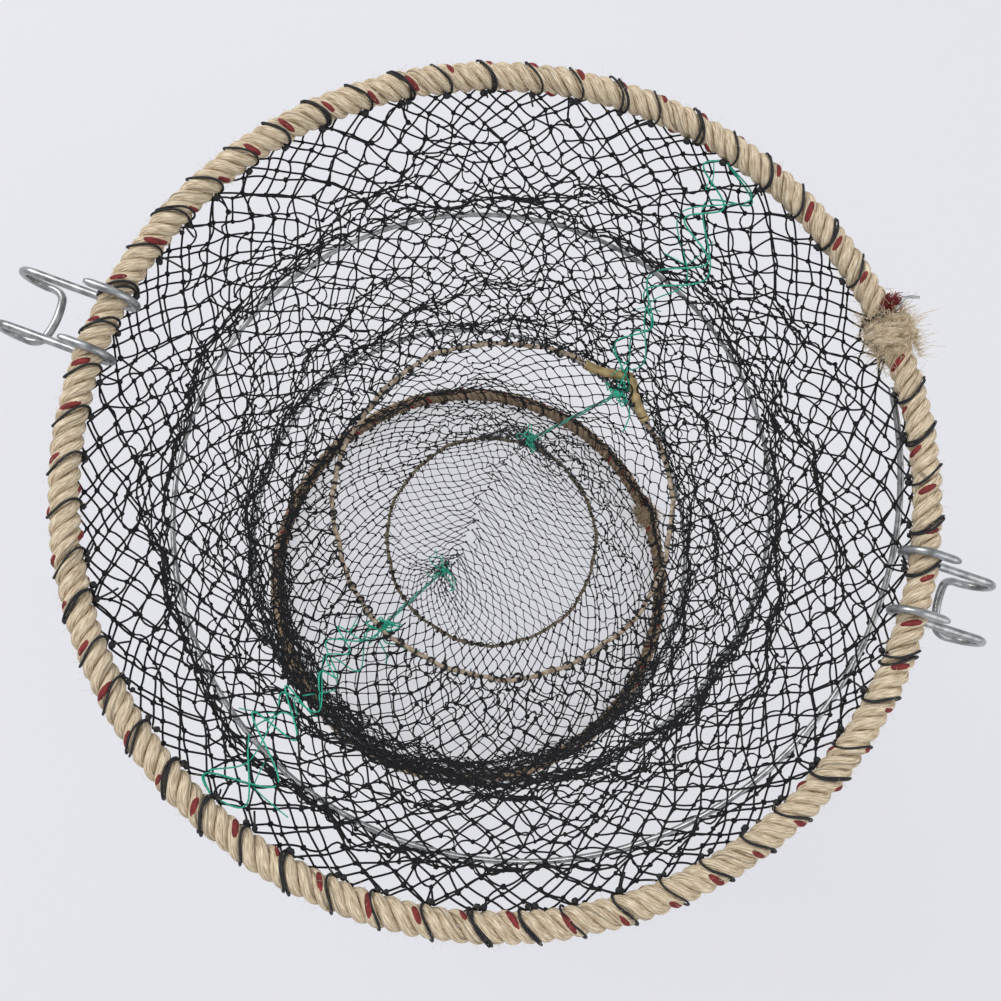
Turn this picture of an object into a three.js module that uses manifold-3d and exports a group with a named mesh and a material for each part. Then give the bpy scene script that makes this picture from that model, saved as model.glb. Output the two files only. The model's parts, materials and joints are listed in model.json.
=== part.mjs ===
// Folding crab trap, standing open on its bottom ring. Millimetres, +Z up.
// The rings' axis is the Z axis while the pieces are made, and angles run from +X
// towards +Y. At the end the group is moved so that the origin is on the floor under
// the middle of the whole object's box.
// Two rope-wrapped rings are held apart by one slack coil spring inside a net sleeve.
// A net funnel leads in from each ring to a throat, and two wire latches on the top
// ring hook the bottom ring when the trap is pressed flat.
import * as THREE from 'three';
import Module from 'manifold-3d';

const wasm = await Module();
wasm.setup();

// Driving dimensions
const GAP = 0.3; // clearance between solids that touch
const RING_R = 169.25; // radius of each ring's centreline
const RING_SPACING = 500; // between the two ring centrelines, open
const FOLDED_SPACING = 40.7; // between the two ring centrelines, latched flat
const ROD_R = 2; // steel rod inside each rope wrap
const ROPE_FLAT = 5.75; // from the ring's centreline to the rope's flats
const ROPE_SIDES = 12;
const RING_STEPS = 48; // facets round each ring
const ROPE_CORNER = ROPE_FLAT / Math.cos(Math.PI / ROPE_SIDES);
const WIRE_R = 1.7; // latch wire
const COIL_R = 1.3; // spring wire
const TWINE_R = 0.6; // net lashing and seam twine
const NET_WALL = 1.2; // thickness of each net's solid

const BOTTOM_Z = ROPE_FLAT; // centreline of the bottom ring
const TOP_Z = BOTTOM_Z + RING_SPACING; // centreline of the top ring

const SPRING = { radius: 165, start: 13.5, turns: 2.45, clear: 8, tilt: 22, low: -110 };
const BOW = { reach: 18, towards: 60 }; // how far the middle of the sleeve leans out
const SLEEVE_R = 172;
const FUNNEL_R = 158.5; // outer edge of the top funnel
const THROAT_R = 83;
const THROAT_CORD_R = 1.35;
const TOP_THROAT = new THREE.Vector3(5, 2, TOP_Z - 97);
const BOTTOM_THROAT = new THREE.Vector3(14, 24, BOTTOM_Z + 95);
const THROAT_SLEEVE = { middle: 46, half: 15, peak: 90.5, radius: 2.5 };
const SLIT = { x: 6, y: 37, z: 197, long: 55, wide: 5, turn: 57 };
const TIE_ANGLES = { a: 45, b: 225 }; // where the slit's cords are tied to the top throat
const SEAM_ANGLES = { a: 54.4, b: 228.2 }; // where the green seams leave the top ring

const LATCH_ANGLES = { left: 160.1, right: -14.9 };
const LATCH_HANG = { left: 0, right: 13 }; // how far each hangs below level at rest
const LATCH = { half: 12, bend: 8.5, tip: 10, curlEnd: -100, corner: 4 };
const KNOT = { angle: 20.6, radius: 10.5 };
const TAIL_R = 0.5;

const rad = THREE.MathUtils.degToRad;
const group = new THREE.Group();

// Materials
const colours = {
  steel: [0x8e9296, 0.45, 0.9],
  rope: [0xcdb994, 0.95, 0],
  net: [0x16171a, 0.9, 0],
  wire: [0x9a9d9f, 0.5, 0.85],
  cord: [0xb59c66, 0.85, 0],
  sleeve: [0xc49a4a, 0.5, 0],
  green: [0x2aa884, 0.8, 0],
  twine: [0x1c1d20, 0.9, 0],
};

function add(name, geometry, finish) {
  const [color, roughness, metalness] = colours[finish];
  const material = new THREE.MeshStandardMaterial({ color, roughness, metalness });
  const mesh = new THREE.Mesh(geometry, material);
  mesh.name = name;
  group.add(mesh);
  return mesh;
}

// A curve given by a function of t from 0 to 1.
class FormulaCurve extends THREE.Curve {
  constructor(point) {
    super();
    this.point = point;
    this.arcLengthDivisions = 2000;
  }

  getPoint(t, target = new THREE.Vector3()) {
    return target.copy(this.point(t));
  }
}

function tube(curve, radius, sides, steps) {
  const section = new THREE.Shape();
  for (let i = 0; i < sides; i++) {
    const a = (i / sides) * 2 * Math.PI;
    const move = i === 0 ? 'moveTo' : 'lineTo';
    section[move](radius * Math.cos(a), radius * Math.sin(a));
  }
  section.closePath();
  return new THREE.ExtrudeGeometry(section, { steps, extrudePath: curve, bevelEnabled: false });
}

function polar(radius, degrees, z) {
  const a = rad(degrees);
  return new THREE.Vector3(radius * Math.cos(a), radius * Math.sin(a), z);
}

// A point beside a ring: turn 0 is outwards, 90 is up, 180 is towards the axis.
function besideRing(degrees, turn, distance, ringZ) {
  const out = distance * Math.cos(rad(turn));
  const up = distance * Math.sin(rad(turn));
  return polar(RING_R + out, degrees, ringZ + up);
}

// Turns a profile in (radius, height) about the Z axis.
function lathe(profile, segments) {
  const geometry = new THREE.LatheGeometry(profile, segments);
  geometry.rotateX(Math.PI / 2);
  return geometry;
}

function torus(radius, tubeRadius, sides, segments, centre) {
  const geometry = new THREE.TorusGeometry(radius, tubeRadius, sides, segments);
  geometry.translate(centre.x, centre.y, centre.z);
  return geometry;
}

// A thin closed wall on the surface at(u, v): u goes once round, v from edge to edge.
function wall(at, around, along, thickness) {
  const small = 1e-3;
  const layers = [];
  for (const side of [0.5, -0.5]) {
    const rows = [];
    for (let j = 0; j <= along; j++) {
      const row = [];
      for (let i = 0; i < around; i++) {
        const u = i / around;
        const v = j / along;
        const du = at(u + small, v).sub(at(u - small, v));
        const dv = at(u, Math.min(v + small, 1)).sub(at(u, Math.max(v - small, 0)));
        const normal = du.cross(dv).normalize();
        row.push(at(u, v).addScaledVector(normal, side * thickness));
      }
      rows.push(row);
    }
    layers.push(rows);
  }
  const [outer, inner] = layers;
  const loop = [...outer, ...inner.slice().reverse()];
  const points = [];
  for (let j = 0; j < loop.length; j++) {
    const next = loop[(j + 1) % loop.length];
    for (let i = 0; i < around; i++) {
      const k = (i + 1) % around;
      points.push(loop[j][i], loop[j][k], next[k]);
      points.push(loop[j][i], next[k], next[i]);
    }
  }
  return new THREE.BufferGeometry().setFromPoints(points);
}

// Rings: a steel rod in a rope wrap. The wrap's seam is open towards the axis.
function ropeProfile(ringZ) {
  const points = [];
  const slot = 0.35;
  const boreR = ROD_R + GAP + 0.15;
  const outerSlot = Math.asin(slot / ROPE_FLAT);
  const innerSlot = Math.asin(slot / boreR);
  points.push(new THREE.Vector2(RING_R - ROPE_FLAT, ringZ - slot));
  for (let i = 0; i < ROPE_SIDES; i++) {
    const a = -Math.PI + ((i + 0.5) / ROPE_SIDES) * 2 * Math.PI;
    const x = RING_R + ROPE_CORNER * Math.cos(a);
    points.push(new THREE.Vector2(x, ringZ + ROPE_CORNER * Math.sin(a)));
  }
  points.push(new THREE.Vector2(RING_R - ROPE_FLAT, ringZ + ROPE_FLAT * Math.sin(outerSlot)));
  const boreSides = 6;
  for (let i = 0; i <= boreSides; i++) {
    const a = Math.PI - innerSlot - (i / boreSides) * 2 * (Math.PI - innerSlot);
    points.push(new THREE.Vector2(RING_R + boreR * Math.cos(a), ringZ + boreR * Math.sin(a)));
  }
  points.push(points[0].clone());
  return points;
}

// The knot that closes the rope: a ball that saddles the ring, open underneath.
function ropeKnot(ringZ) {
  const { Manifold } = wasm;
  const ball = Manifold.sphere(KNOT.radius, 12).scale([0.85, 0.95, 0.8]);
  const bore = Manifold.cylinder(60, ROPE_CORNER + GAP + 0.3, ROPE_CORNER + GAP + 0.3, 16, true);
  const under = Manifold.cube([60, 60, 20], true).translate([0, 0, -10 - ROPE_FLAT + 1.2]);
  const solid = ball.subtract(bore.rotate([90, 0, 0])).subtract(under);
  const { vertProperties, triVerts } = solid.getMesh();
  const geometry = new THREE.BufferGeometry();
  geometry.setAttribute('position', new THREE.BufferAttribute(vertProperties, 3));
  geometry.setIndex(new THREE.BufferAttribute(triVerts, 1));
  geometry.rotateZ(rad(KNOT.angle));
  const at = polar(RING_R, KNOT.angle, ringZ);
  geometry.translate(at.x, at.y, at.z);
  return geometry;
}

// Twine that goes to and fro over the ring's inner side and holds the net to it.
function lashing(ringZ, from, to, waves, turn) {
  const distance = ROPE_CORNER + GAP + TWINE_R + 0.5;
  const curve = new FormulaCurve((t) => {
    const swing = turn.middle + turn.half * Math.sin(t * waves * 2 * Math.PI);
    return besideRing(from + (to - from) * t, swing, distance, ringZ);
  });
  return tube(curve, TWINE_R, 4, waves * 6);
}

// The coil spring between the rings. Its middle leans with the sleeve and tilts a little.
function leanAt(z) {
  const lean = BOW.reach * Math.sin(Math.PI * THREE.MathUtils.clamp((z - BOTTOM_Z) / RING_SPACING, 0, 1));
  return polar(lean, BOW.towards, 0);
}

function springPoint(t) {
  const degrees = SPRING.start - 360 * SPRING.turns * t;
  const drop = SPRING.clear + (RING_SPACING - 2 * SPRING.clear) * t;
  const tilt = SPRING.tilt * Math.sin(Math.PI * t) ** 2 * Math.cos(rad(degrees - SPRING.low));
  const z = TOP_Z - drop - tilt;
  return polar(SPRING.radius, degrees, z).add(leanAt(z));
}

// The band that ties the spring, at t along it, to a ring. It goes round the rope at
// these turns and then round the wire, which lies on side -1, under, or 1, over the rope.
function springTie(t, ringZ, side, turns) {
  const bandR = 0.9;
  const wire = springPoint(t);
  const degrees = THREE.MathUtils.radToDeg(Math.atan2(wire.y, wire.x));
  const points = turns.map((turn) => {
    const distance = ROPE_CORNER + GAP + bandR + 0.15;
    return besideRing(degrees, -side * turn, distance, ringZ);
  });
  for (const turn of [215, 245, 275]) {
    const a = -side * rad(turn);
    const reach = COIL_R + GAP + bandR + 0.4;
    const out = Math.hypot(wire.x, wire.y) + reach * Math.cos(a);
    points.push(polar(out, degrees, wire.z + reach * Math.sin(a)));
  }
  return tube(new THREE.CatmullRomCurve3(points, false, 'centripetal'), bandR, 6, 6 * turns.length);
}

// Nets
// 1 within inner degrees of any of the centres, falling to 0 at outer degrees from it.
function near(degrees, centres, inner, outer) {
  let most = 0;
  for (const centre of centres) {
    const away = Math.abs(THREE.MathUtils.euclideanModulo(degrees - centre + 180, 360) - 180);
    most = Math.max(most, 1 - THREE.MathUtils.smoothstep(away, inner, outer));
  }
  return most;
}

function sleevePoint(u, v) {
  const degrees = 360 * u;
  const edge = ROPE_CORNER + GAP + 0.2;
  const low = BOTTOM_Z + edge + 3.2 * near(degrees, [KNOT.angle], 7, 12);
  const high = TOP_Z - edge - 10 * near(degrees, Object.values(LATCH_ANGLES), 7, 12);
  const z = THREE.MathUtils.lerp(low, high, v);
  const flare = 2.75 * Math.abs(2 * v - 1) ** 6;
  return polar(SLEEVE_R - flare, degrees, z).add(leanAt(z));
}

// A funnel wall that goes from a circle at the ring in to a circle at the throat.
function funnelPoint(u, v, mouth, throat, throatRadius, sag) {
  const degrees = 360 * u;
  const start = polar(mouth.radius, degrees, mouth.z);
  const end = polar(throatRadius, degrees, throat.z);
  end.x += throat.x;
  end.y += throat.y;
  const point = start.lerp(end, v);
  point.z += sag * Math.sin(Math.PI * v);
  return point;
}

const throatEdge = THROAT_R + THROAT_CORD_R + GAP + NET_WALL / 2 + 0.1;
const topMouth = { radius: FUNNEL_R, z: TOP_Z - 1 };
const bottomMouth = { radius: FUNNEL_R + 1.4, z: BOTTOM_Z + 0.6 };

function topFunnelPoint(u, v) {
  const notch = 11 * near(360 * u, [THROAT_SLEEVE.middle], 20, 30);
  return funnelPoint(u, v, topMouth, TOP_THROAT, throatEdge + notch, -7);
}

function bottomFunnelPoint(u, v) {
  return funnelPoint(u, v, bottomMouth, BOTTOM_THROAT, throatEdge, 7);
}

// The soft lips that rise from the bottom throat and close to a slit.
function lipsPoint(u, v) {
  const a = 2 * Math.PI * u;
  const edge = THROAT_R - THROAT_CORD_R - GAP - NET_WALL / 2 - 0.1;
  const start = new THREE.Vector3(edge * Math.cos(a), edge * Math.sin(a), 0).add(BOTTOM_THROAT);
  const end = new THREE.Vector3(SLIT.long * Math.cos(a), SLIT.wide * Math.sin(a), 0);
  end.applyAxisAngle(new THREE.Vector3(0, 0, 1), rad(SLIT.turn));
  const turned = rad(SLIT.turn);
  start.sub(BOTTOM_THROAT).applyAxisAngle(new THREE.Vector3(0, 0, 1), turned).add(BOTTOM_THROAT);
  end.add(new THREE.Vector3(SLIT.x, SLIT.y, SLIT.z));
  const point = start.clone().lerp(end, v);
  point.z = THREE.MathUtils.lerp(start.z, end.z, v ** 0.85);
  return point;
}

function slitCorner(side) {
  const reach = SLIT.long + NET_WALL / 2 + GAP + TWINE_R + 0.5;
  const corner = polar(side * reach, SLIT.turn, SLIT.z);
  return corner.add(new THREE.Vector3(SLIT.x, SLIT.y, 0));
}

// Twine laid in a zigzag down the top funnel, from the ring to the throat.
function funnelSeam(degrees, endDegrees) {
  const lift = NET_WALL / 2 + GAP + TWINE_R + 1.2;
  const curve = new FormulaCurve((t) => {
    const v = THREE.MathUtils.lerp(0.06, 0.93, t);
    const swing = 2.6 * Math.sin(t * 12 * Math.PI) * (1 - 0.3 * t);
    const at = THREE.MathUtils.lerp(degrees, endDegrees, t) + swing;
    const point = topFunnelPoint(at / 360, v);
    point.z += lift * 1.6;
    return point;
  });
  return tube(curve, TWINE_R, 4, 60);
}

// The top throat's cord runs round from one end of the sleeve to the other.
function throatCord() {
  const { middle, half } = THROAT_SLEEVE;
  const from = middle + half;
  const sweep = 360 - 2 * half;
  const curve = new FormulaCurve((t) => polar(THROAT_R, from + sweep * t, 0).add(TOP_THROAT));
  return tube(curve, THROAT_CORD_R, 6, 48);
}

function throatSleeve() {
  const { middle, half, peak, radius } = THROAT_SLEEVE;
  const end = half - 0.3;
  const points = [
    polar(THROAT_R, middle - end, 0),
    polar(THROAT_R + 1.6, middle - 0.55 * end, 0),
    polar(peak, middle - 0.06 * end, 0),
    polar(peak, middle + 0.06 * end, 0),
    polar(THROAT_R + 1.6, middle + 0.55 * end, 0),
    polar(THROAT_R, middle + end, 0),
  ];
  const curve = new THREE.CatmullRomCurve3(points.map((p) => p.add(TOP_THROAT)), false, 'centripetal');
  return tube(curve, radius, 8, 20);
}

// A small knot, sitting on the inner side of a throat's cord.
function tieKnot(degrees, throat, lift) {
  const size = 2.6;
  const geometry = new THREE.IcosahedronGeometry(size, 1);
  const at = polar(THROAT_R - THROAT_CORD_R - size - GAP, degrees, lift).add(throat);
  geometry.translate(at.x, at.y, at.z);
  return geometry;
}

// A cord drawn straight from the top throat down to a corner of the slit.
function tieCord(degrees, side) {
  const top = polar(THROAT_R - 9.5, degrees, -3.4).add(TOP_THROAT);
  const line = new THREE.LineCurve3(top, slitCorner(side));
  return tube(line, TWINE_R + 0.2, 6, 6);
}

// Latches. In a latch's own axes x is outwards, y is along the ring and z is up.
const pivotR = RING_R * Math.cos(Math.asin(LATCH.half / RING_R));
const pocketDrop = 2 * LATCH.bend;
const pocketOut = Math.sqrt(FOLDED_SPACING ** 2 - pocketDrop ** 2);

function arcPoints(centreX, centreZ, from, to, count, y) {
  const points = [];
  for (let i = 0; i <= count; i++) {
    const a = rad(THREE.MathUtils.lerp(from, to, i / count));
    const x = centreX + LATCH.bend * Math.cos(a);
    points.push(new THREE.Vector3(x, y, centreZ + LATCH.bend * Math.sin(a)));
  }
  return points;
}

function latch(degrees, hang) {
  const leg = [new THREE.Vector3(LATCH.tip, LATCH.half, LATCH.bend)];
  leg.push(new THREE.Vector3(LATCH.tip / 2, LATCH.half, LATCH.bend));
  leg.push(...arcPoints(0, 0, 90, 270, 8, LATCH.half));
  leg.push(new THREE.Vector3(pocketOut * 0.35, LATCH.half, -LATCH.bend));
  leg.push(new THREE.Vector3(pocketOut * 0.7, LATCH.half, -LATCH.bend));
  leg.push(...arcPoints(pocketOut, -pocketDrop, 90, LATCH.curlEnd, 8, LATCH.half));
  const last = leg.at(-1);
  leg.push(new THREE.Vector3(last.x - 3.2, LATCH.half - 1.2, last.z + 0.2));
  leg.push(new THREE.Vector3(last.x - 5, LATCH.half - LATCH.corner, last.z + 0.4));
  const mirrored = leg.map((p) => new THREE.Vector3(p.x, -p.y, p.z)).reverse();
  const middle = new THREE.Vector3(last.x - 6, 0, last.z + 0.5);
  const curve = new THREE.CatmullRomCurve3([...leg, middle, ...mirrored], false, 'centripetal');
  const geometry = tube(curve, WIRE_R, 6, 76);
  geometry.rotateY(rad(hang));
  geometry.translate(pivotR, 0, TOP_Z);
  geometry.rotateZ(rad(degrees));
  return geometry;
}

// The bright end of the binding wire that sticks out of the top knot.
function wireTail() {
  const base = polar(RING_R + 2, KNOT.angle + 2.4, TOP_Z + ROPE_CORNER + GAP + TAIL_R + 0.4);
  const points = [
    base,
    base.clone().add(new THREE.Vector3(2.2, 3.4, 1.2)),
    base.clone().add(new THREE.Vector3(4.4, 5.2, 1.9)),
    base.clone().add(new THREE.Vector3(9.5, 5.4, 1.4)),
  ];
  return tube(new THREE.CatmullRomCurve3(points), TAIL_R, 6, 12);
}

// Assembly
for (const [place, z] of [['bottom', BOTTOM_Z], ['top', TOP_Z]]) {
  const centre = new THREE.Vector3(0, 0, z);
  add(`${place}_ring_rod`, torus(RING_R, ROD_R, 6, RING_STEPS, centre), 'steel');
  add(`${place}_rope_wrap`, lathe(ropeProfile(z), RING_STEPS), 'rope');
  add(`${place}_rope_knot`, ropeKnot(z), 'rope');
}

add('coil_spring', tube(new FormulaCurve(springPoint), COIL_R, 6, 132), 'wire');
const springEnd = SPRING.start - 360 * SPRING.turns;
const acrossTop = [20, 50, 80, 110, 140, 170, 200];
add('spring_tie_top', springTie(0.002, TOP_Z, -1, acrossTop), 'twine');
add('spring_tie_bottom', springTie(0.998, BOTTOM_Z, 1, [145, 170, 200]), 'twine');

const overTop = { middle: 150, half: 60 };
const inside = { middle: 165, half: 42 };
const bottomFrom = springEnd + 1080 + 5;
const lashingEnd = LATCH_ANGLES.right + 352;
add('bottom_lashing_back', lashing(BOTTOM_Z, KNOT.angle + 6, LATCH_ANGLES.left - 8, 12, inside), 'twine');
add('bottom_lashing_front', lashing(BOTTOM_Z, bottomFrom, lashingEnd, 10, inside), 'twine');
add('top_lashing_back', lashing(TOP_Z, 30, LATCH_ANGLES.left - 8, 12, overTop), 'twine');
add('top_lashing_front', lashing(TOP_Z, LATCH_ANGLES.left + 8, lashingEnd, 18, overTop), 'twine');

add('side_net', wall(sleevePoint, 36, 8, NET_WALL), 'net');
add('bottom_funnel_net', wall((u, v) => bottomFunnelPoint(1 - u, v), 36, 4, NET_WALL), 'net');
add('bottom_throat_cord', torus(THROAT_R, THROAT_CORD_R, 6, 48, BOTTOM_THROAT), 'cord');
add('slit_net', wall(lipsPoint, 36, 4, NET_WALL), 'net');

add('top_funnel_net', wall(topFunnelPoint, 36, 4, NET_WALL), 'net');
add('top_throat_cord', throatCord(), 'cord');
add('throat_sleeve', throatSleeve(), 'sleeve');
add('tie_knot_a', tieKnot(TIE_ANGLES.a, TOP_THROAT, -1.5), 'green');
add('tie_knot_b', tieKnot(TIE_ANGLES.b, TOP_THROAT, -1.5), 'green');
add('tie_cord_a', tieCord(TIE_ANGLES.a, 1), 'green');
add('tie_cord_b', tieCord(TIE_ANGLES.b, -1), 'green');
add('funnel_seam_a', funnelSeam(SEAM_ANGLES.a, 48), 'green');
add('funnel_seam_b', funnelSeam(SEAM_ANGLES.b, 225), 'green');

add('latch_left', latch(LATCH_ANGLES.left, LATCH_HANG.left), 'wire');
add('latch_right', latch(LATCH_ANGLES.right, LATCH_HANG.right), 'wire');
add('top_wire_tail', wireTail(), 'steel');

const box = new THREE.Box3().setFromObject(group);
const middle = box.getCenter(new THREE.Vector3());
group.position.set(-middle.x, -middle.y, 0);

export default group;
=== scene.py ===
"""Folding crab trap: rope-wrapped rings, coil spring, knotted netting, throats and latches.

Lengths are in metres. Angles round the trap are in degrees from the x axis.
"""
import json
import math

import bpy
import numpy as np
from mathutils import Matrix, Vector


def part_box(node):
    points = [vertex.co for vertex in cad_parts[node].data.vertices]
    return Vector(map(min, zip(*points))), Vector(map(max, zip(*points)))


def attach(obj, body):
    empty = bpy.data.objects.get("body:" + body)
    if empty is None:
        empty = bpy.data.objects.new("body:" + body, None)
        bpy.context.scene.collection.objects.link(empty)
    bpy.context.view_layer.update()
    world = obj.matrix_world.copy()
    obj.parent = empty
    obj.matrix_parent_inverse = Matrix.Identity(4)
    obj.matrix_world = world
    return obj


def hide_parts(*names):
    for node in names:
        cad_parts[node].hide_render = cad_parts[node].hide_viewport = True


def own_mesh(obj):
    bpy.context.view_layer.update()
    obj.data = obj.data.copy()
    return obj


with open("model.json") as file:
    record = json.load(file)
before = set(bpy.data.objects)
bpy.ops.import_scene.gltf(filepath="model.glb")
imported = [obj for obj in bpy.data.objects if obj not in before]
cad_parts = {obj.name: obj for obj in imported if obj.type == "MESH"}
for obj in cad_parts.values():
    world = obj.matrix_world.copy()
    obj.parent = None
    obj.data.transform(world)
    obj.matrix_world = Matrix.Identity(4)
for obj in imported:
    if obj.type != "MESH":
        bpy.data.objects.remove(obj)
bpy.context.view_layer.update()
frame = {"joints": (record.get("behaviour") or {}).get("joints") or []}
TAU = 2 * math.pi

# ---------------------------------------------------------------- sizes, from the frame
wrap_low, wrap_high = (np.array(v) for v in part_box("top_rope_wrap"))
base_low, base_high = (np.array(v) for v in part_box("bottom_rope_wrap"))
AXIS = np.array([*((wrap_low + wrap_high) / 2)[:2], 0.0])
ROPE_R = (wrap_high[2] - wrap_low[2]) / 2
RING_R = (wrap_high[0] - wrap_low[0]) / 2 - ROPE_R
TOP_Z = (wrap_low[2] + wrap_high[2]) / 2
BOTTOM_Z = (base_low[2] + base_high[2]) / 2
SPACING = TOP_Z - BOTTOM_Z

collapse = next(j for j in frame["joints"] if j["name"] == "collapse")
FOLDED = SPACING + collapse["range_m"][0]  # spacing of the rings when the trap is folded

THROAT_CORD_R = 0.00135


def middle_of(node):
    """A node's middle, and half its size."""
    low, high = (np.array(v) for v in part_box(node))
    return (low + high) / 2, (high - low) / 2


BOTTOM_THROAT, half = middle_of("bottom_throat_cord")
THROAT_R = half[0] - THROAT_CORD_R
# The top throat's cord has a gap at its sleeve, so its centre is measured from its low corner.
corner_to_centre = [THROAT_R + THROAT_CORD_R, THROAT_R + THROAT_CORD_R, THROAT_CORD_R]
TOP_THROAT = np.array(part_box("top_throat_cord")[0]) + corner_to_centre
SLIT_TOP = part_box("slit_net")[1][2]

# ---------------------------------------------------------------- sizes of the pieces
ROD_R = 0.002
TWINE_R = 0.00044
FINE_TWINE_R = 0.0003
LASHING_R = 0.00062
WIRE_R = 0.0017
COIL_R = 0.0013
HAIR_R = 0.00005
FLOOR_GAP = 0.0002  # lowest height of a loose hair

# The slit's middle from the axis, its half length, its half width, and its turn in radians.
SLIT = {"middle": (0.006, 0.037), "long": 0.055, "wide": 0.003, "turn": math.radians(57)}
# The coil: clear is its ends' distance from the rings, tilt how far its middle tips to one side.
SPRING = {"radius": 0.165, "start": 13.5, "turns": 2.45, "clear": 0.008, "tilt": 0.022, "low": -110}
BOW = {"reach": 0.018, "towards": math.radians(60)}  # how the coil and the sleeve lean at mid height
# The spring and the side net fold up between the two rings.
STACK_FROM = BOTTOM_Z + SPRING["clear"]

LATCHES = {"left": (160.1, 0), "right": (-14.9, 13)}  # place round the ring, hang below level
LATCH = {"half": 0.012, "bend": 0.0085, "tip": 0.010, "curl_end": -100, "corner": 0.004}
LATCH_LEG = 4.05  # a latch's leg from the latch's middle, round the ring
LEG_GAP = 1.3  # no lashing lies nearer to a latch's leg

KNOT_ANGLE = 20.6
KNOT_GAP = 3.3  # no lashing lies nearer to the rope's knot

MESHES = 70  # net meshes round each ring
BAR = 0.0105  # length of one side of a mesh
NET_KNOT = 0.00105
FUNNEL_ROWS = 17
SIDE_ROWS = 73
SIDE_BANDS = 4  # pieces that the side net is drawn in
SLIT_ROWS = 13

STRANDS = 3
STRAND_R = 0.00238
STRAND_OFFSET = ROPE_R - STRAND_R + 0.0001
YARN_TURNS = 48  # turns of the yarns in a strand, round the whole ring
TRACER_R = 0.0014
ROPE_TURNS = 58  # turns of the wrap round each ring
ROPE_HAIRS = {"top": 2600, "base": 900}
LASHINGS = ROPE_TURNS  # one for each turn, in a groove between strands
GROOVE = -30 / ROPE_TURNS  # where the first groove lies on top of the ring


def polar(radius, degrees, z=0.0):
    """Points from a radius and an angle, about the z axis."""
    a = np.radians(degrees)
    return np.stack(np.broadcast_arrays(radius * np.cos(a), radius * np.sin(a), z), axis=-1)


def on_axis(points):
    """Moves points from the z axis to the rings' axis."""
    return np.asarray(points, float) + AXIS


# ---------------------------------------------------------------- mesh building
def new_mesh(name, verts, faces, material, uv=None):
    """An object from arrays: faces is a list of (n, k) index arrays."""
    mesh = bpy.data.meshes.new(name)
    mesh.vertices.add(len(verts))
    mesh.vertices.foreach_set("co", np.asarray(verts, np.float32).ravel())
    corners = np.concatenate([f.ravel() for f in faces])
    sizes = np.concatenate([np.full(len(f), f.shape[1]) for f in faces])
    mesh.loops.add(len(corners))
    mesh.loops.foreach_set("vertex_index", corners.astype(np.int32))
    mesh.polygons.add(len(sizes))
    starts = np.concatenate([[0], np.cumsum(sizes)[:-1]])
    mesh.polygons.foreach_set("loop_start", starts.astype(np.int32))
    if uv is not None:
        layer = mesh.uv_layers.new(name="strand")
        layer.data.foreach_set("uv", np.asarray(uv, np.float32)[corners].ravel())
    mesh.update(calc_edges=True)
    mesh.validate()
    mesh.shade_smooth()
    mesh.materials.append(material)
    obj = bpy.data.objects.new(name, mesh)
    bpy.context.collection.objects.link(obj)
    return obj


def frames_along(path, closed=False):
    """Unit tangents and two unit normals, carried along a path without twisting."""
    ahead = np.roll(path, -1, 0) - np.roll(path, 1, 0)
    if not closed:
        ahead[0] = path[1] - path[0]
        ahead[-1] = path[-1] - path[-2]
    tangent = ahead / np.linalg.norm(ahead, axis=1, keepdims=True)
    first = np.cross(tangent[0], [0.3, 0.2, 0.93])
    normal = np.zeros_like(tangent)
    normal[0] = first / np.linalg.norm(first)
    for i in range(1, len(path)):
        n = normal[i - 1] - tangent[i] * (normal[i - 1] @ tangent[i])
        normal[i] = n / np.linalg.norm(n)
    if closed:
        last = normal[-1] - tangent[0] * (normal[-1] @ tangent[0])
        side = np.cross(tangent[0], normal[0])
        turn = math.atan2(last @ side, last @ normal[0])
        share = -turn * np.arange(len(path)) / len(path)
        other = np.cross(tangent, normal)
        normal = normal * np.cos(share)[:, None] + other * np.sin(share)[:, None]
    return tangent, normal, np.cross(tangent, normal)


def grid_faces(rings, sides, wrap, offset=0):
    """Quads between successive rings of points."""
    rows = np.arange(rings if wrap else rings - 1)
    r, s = np.meshgrid(rows, np.arange(sides), indexing="ij")
    r2, s2 = (r + 1) % rings, (s + 1) % sides
    quads = np.stack([r * sides + s, r * sides + s2, r2 * sides + s2, r2 * sides + s], -1)
    return quads.reshape(-1, 4) + offset


class Tubes:
    """Collects tubes along paths and makes one object of them."""

    def __init__(self):
        self.verts, self.quads, self.caps, self.uv, self.count = [], [], [], [], 0

    def add(self, path, radius, sides=6, closed=False, shape=None):
        path = np.asarray(path, float)
        n = len(path)
        _, normal, side = frames_along(path, closed)
        step = np.linalg.norm(np.diff(path, axis=0), axis=1)
        along = np.concatenate([[0], np.cumsum(step)])
        a = np.arange(sides) / sides * TAU
        r = np.broadcast_to(np.asarray(radius, float).reshape(-1, 1), (n, sides))
        if shape is not None:
            r = r * shape(along[:, None], a[None, :])
        outward = np.cos(a)[:, None] * normal[:, None] + np.sin(a)[:, None] * side[:, None]
        self.verts.append((path[:, None] + r[..., None] * outward).reshape(-1, 3))
        uv = np.stack(np.broadcast_arrays(along[:, None], a[None, :] / TAU), -1)
        self.uv.append(uv.reshape(-1, 2))
        self.quads.append(grid_faces(n, sides, closed, self.count))
        if not closed:
            self.caps.append(self.count + np.arange(sides)[::-1][None])
            self.caps.append(self.count + (n - 1) * sides + np.arange(sides)[None])
        self.count += n * sides

    def make(self, name, material):
        faces = [np.concatenate(self.quads)] + self.caps
        return new_mesh(name, np.concatenate(self.verts), faces, material, np.concatenate(self.uv))


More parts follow.
